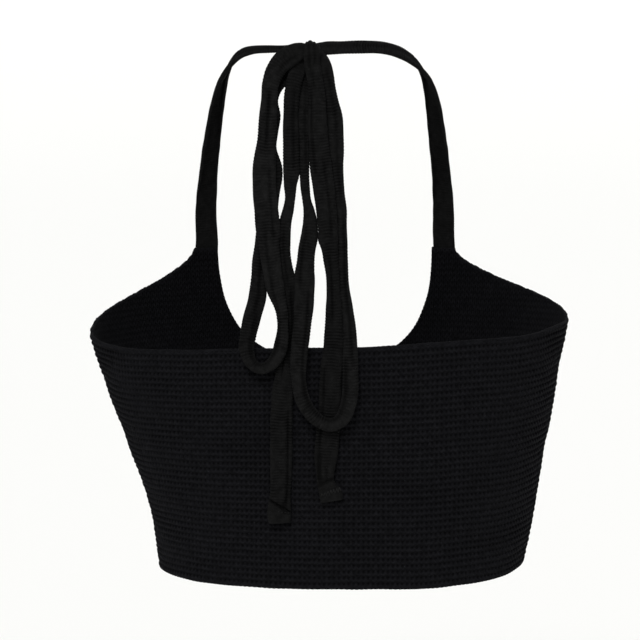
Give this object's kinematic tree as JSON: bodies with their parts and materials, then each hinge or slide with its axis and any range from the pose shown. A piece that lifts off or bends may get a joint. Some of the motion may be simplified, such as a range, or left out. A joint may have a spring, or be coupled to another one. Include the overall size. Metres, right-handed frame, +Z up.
{
  "type": "halter crop top",
  "caption": "Knitted halter crop top in worn form, a close band round the chest with a scoop front, straps over the shoulders and a long bow tied at the nape.",
  "frame": {"origin": "inner face of the neck strap at the middle of the nape, where the wearer's neck holds the garment up", "axes": "+Z up, front facing -Y, +X towards the wearer's left"},
  "size_m": [0.3245, 0.2257, 0.3607],
  "materials": {
    "panel_knit": "matt black weft knit in purl-faced rows, soft yarn with a low sheen",
    "tie_jersey": "matt black narrow jersey knit, its long edges curled in"
  },
  "bodies": {
    "root": {"back_panel": "panel_knit", "front_panel": "panel_knit", "strap_left": "tie_jersey", "strap_right": "tie_jersey", "neck_knot": "tie_jersey", "loop_left": "tie_jersey", "loop_right": "tie_jersey", "tail_left": "tie_jersey", "tail_right": "tie_jersey"}
  },
  "joints": []
}
